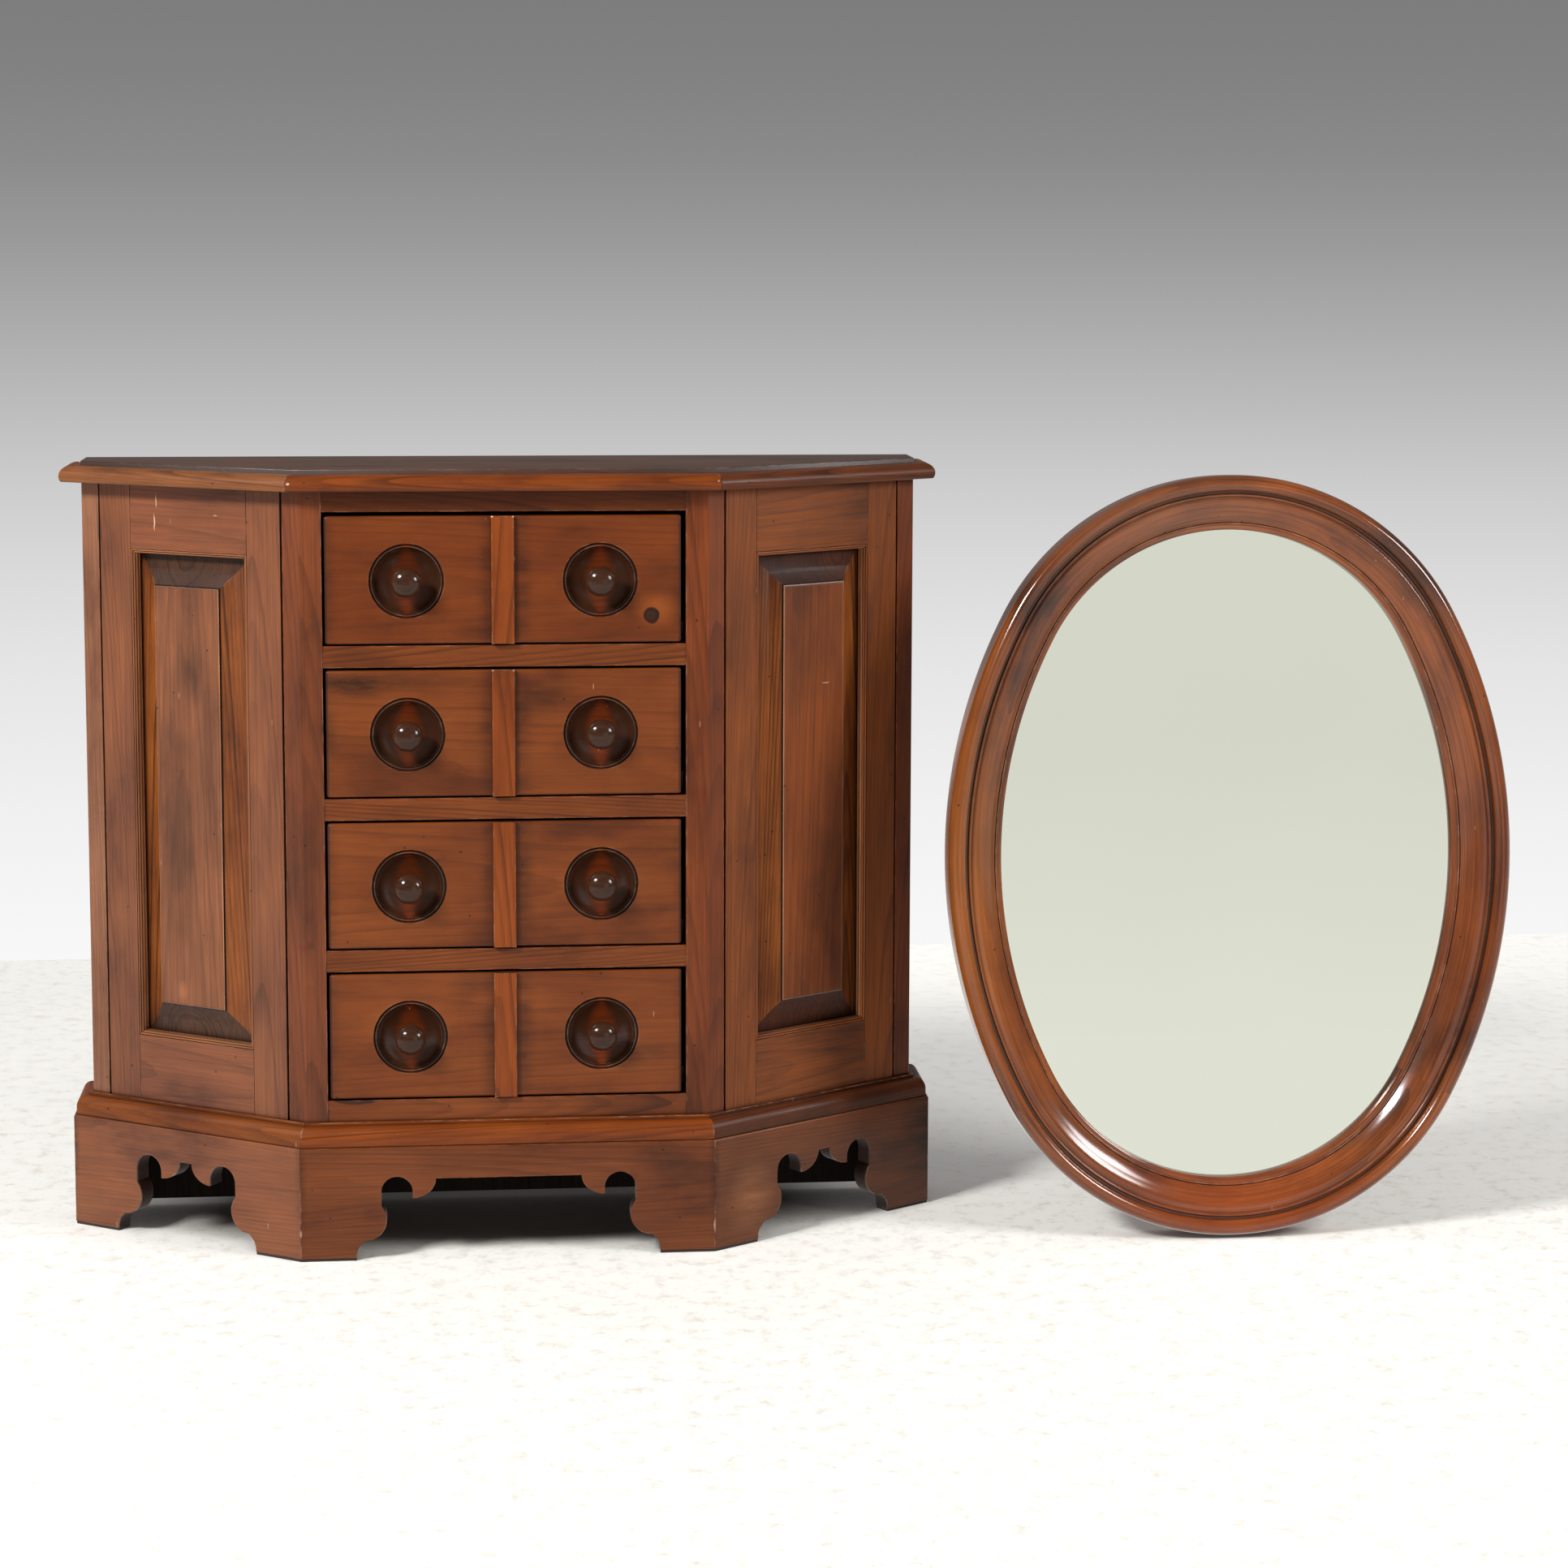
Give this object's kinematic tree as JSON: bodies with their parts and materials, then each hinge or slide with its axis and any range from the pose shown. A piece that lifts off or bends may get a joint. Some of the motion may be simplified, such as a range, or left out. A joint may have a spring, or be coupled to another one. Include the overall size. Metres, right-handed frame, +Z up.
{
  "type": "dresser with mirror",
  "caption": "Low chest with wide knobbed drawers between canted panelled sides on a scrolled plinth, and a loose oval mirror standing beside it.",
  "frame": {"origin": "middle of the set's bounding box at floor level, dresser and mirror together", "axes": "+X to the right along the set, from the dresser to the mirror; -Y the way the drawers open; +Z up"},
  "size_m": [1.536, 0.2352, 0.8229],
  "materials": {
    "stained_pine": "satin stained varnish",
    "cant_pine": "satin stained varnish",
    "dark_pine": "worn satin varnish",
    "moulding_pine": "satin stained varnish",
    "knob": "polished dark stain",
    "raw_pine": "unfinished",
    "mirror_wood": "satin stained varnish",
    "mirror_glass": "silvered",
    "pad": "matte"
  },
  "bodies": {
    "carcase": {"back_panel": "raw_pine", "base_moulding_front": "moulding_pine", "base_moulding_left": "moulding_pine", "base_moulding_right": "moulding_pine", "bottom_rail": "stained_pine", "drawer_rail_1": "stained_pine", "drawer_rail_2": "stained_pine", "drawer_rail_3": "stained_pine", "dust_board_1": "raw_pine", "dust_board_2": "raw_pine", "dust_board_3": "raw_pine", "dust_board_4": "raw_pine", "front_post_left": "stained_pine", "front_post_right": "stained_pine", "left_frame_bottom_rail": "cant_pine", "left_frame_top_rail": "cant_pine", "left_front_stile": "cant_pine", "left_panel": "dark_pine", "left_rear_stile": "cant_pine", "pad_front_left": "pad", "pad_front_right": "pad", "pad_rear_left": "pad", "pad_rear_right": "pad", "plinth_front": "stained_pine", "plinth_left": "cant_pine", "plinth_return_left": "cant_pine", "plinth_return_right": "cant_pine", "plinth_right": "cant_pine", "rear_post_left": "stained_pine", "rear_post_right": "stained_pine", "right_frame_bottom_rail": "cant_pine", "right_frame_top_rail": "cant_pine", "right_front_stile": "cant_pine", "right_panel": "dark_pine", "right_rear_stile": "cant_pine", "top": "dark_pine", "top_rail": "stained_pine"},
    "drawer_1": {"drawer_1_box": "raw_pine", "drawer_1_front": "stained_pine", "drawer_1_knob_left": "knob", "drawer_1_knob_right": "knob", "drawer_1_strip": "stained_pine"},
    "drawer_2": {"drawer_2_box": "raw_pine", "drawer_2_front": "stained_pine", "drawer_2_knob_left": "knob", "drawer_2_knob_right": "knob", "drawer_2_strip": "stained_pine"},
    "drawer_3": {"drawer_3_box": "raw_pine", "drawer_3_front": "stained_pine", "drawer_3_knob_left": "knob", "drawer_3_knob_right": "knob", "drawer_3_strip": "stained_pine"},
    "drawer_4": {"drawer_4_box": "raw_pine", "drawer_4_front": "stained_pine", "drawer_4_knob_left": "knob", "drawer_4_knob_right": "knob", "drawer_4_strip": "stained_pine"},
    "mirror": {"mirror_backboard": "raw_pine", "mirror_frame": "mirror_wood", "mirror_glass": "mirror_glass"}
  },
  "joints": [
    {"name": "drawer_1_slide", "type": "slide", "parent": "carcase", "child": "drawer_1", "axis": [0, -1, 0], "range_m": [0, 0.13]},
    {"name": "drawer_2_slide", "type": "slide", "parent": "carcase", "child": "drawer_2", "axis": [0, -1, 0], "range_m": [0, 0.13]},
    {"name": "drawer_3_slide", "type": "slide", "parent": "carcase", "child": "drawer_3", "axis": [0, -1, 0], "range_m": [0, 0.13]},
    {"name": "drawer_4_slide", "type": "slide", "parent": "carcase", "child": "drawer_4", "axis": [0, -1, 0], "range_m": [0, 0.13]},
    {"name": "mirror_lift", "type": "slide", "parent": "carcase", "child": "mirror", "axis": [0, 0, 1], "range_m": [0, 0.85]}
  ]
}
